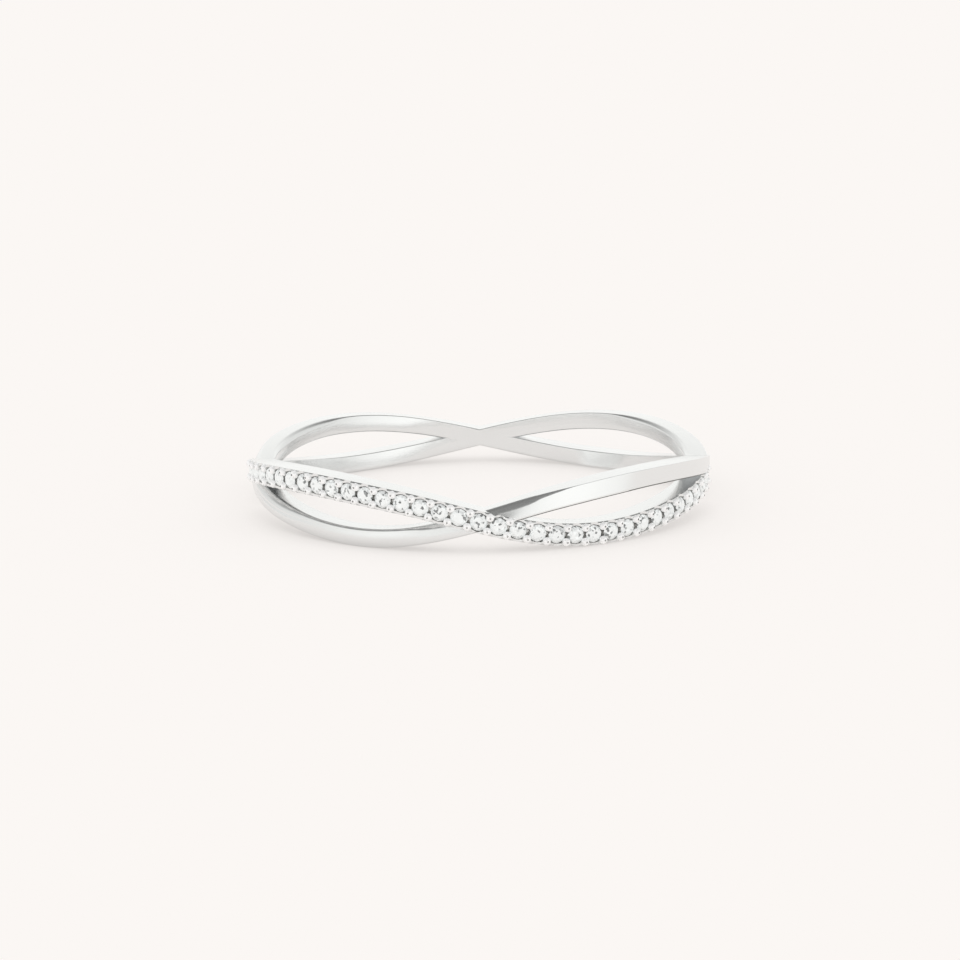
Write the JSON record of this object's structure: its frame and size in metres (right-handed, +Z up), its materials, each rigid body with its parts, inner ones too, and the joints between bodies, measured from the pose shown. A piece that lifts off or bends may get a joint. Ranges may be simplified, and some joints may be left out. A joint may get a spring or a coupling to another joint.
{
  "type": "crossover band ring",
  "caption": "Slim crossover finger ring: a plain polished strand and a strand set with small round stones weave round the finger hole, leaving lens-shaped windows.",
  "frame": {"origin": "on the surface that the ring lies on, on the axis of the finger hole", "axes": "+Z up along the axis of the finger hole, -Y towards the front crossing of the strands, +X to the right as seen from the front"},
  "size_m": [0.0194, 0.0194, 0.0027],
  "materials": {
    "metal": "white gold with a bright polished rhodium plating",
    "stone": "clear colourless topaz, round brilliant cut"
  },
  "bodies": {
    "root": {"band": "metal", "stone_01": "stone", "stone_02": "stone", "stone_03": "stone", "stone_04": "stone", "stone_05": "stone", "stone_06": "stone", "stone_07": "stone", "stone_08": "stone", "stone_09": "stone", "stone_10": "stone", "stone_11": "stone", "stone_12": "stone", "stone_13": "stone", "stone_14": "stone", "stone_15": "stone", "stone_16": "stone", "stone_17": "stone", "stone_18": "stone", "stone_19": "stone", "stone_20": "stone", "stone_21": "stone", "stone_22": "stone", "stone_23": "stone", "stone_24": "stone", "stone_25": "stone", "stone_26": "stone", "stone_27": "stone", "stone_28": "stone", "stone_29": "stone", "stone_30": "stone", "stone_31": "stone", "stone_32": "stone", "stone_33": "stone", "stone_34": "stone", "stone_35": "stone"}
  },
  "joints": []
}
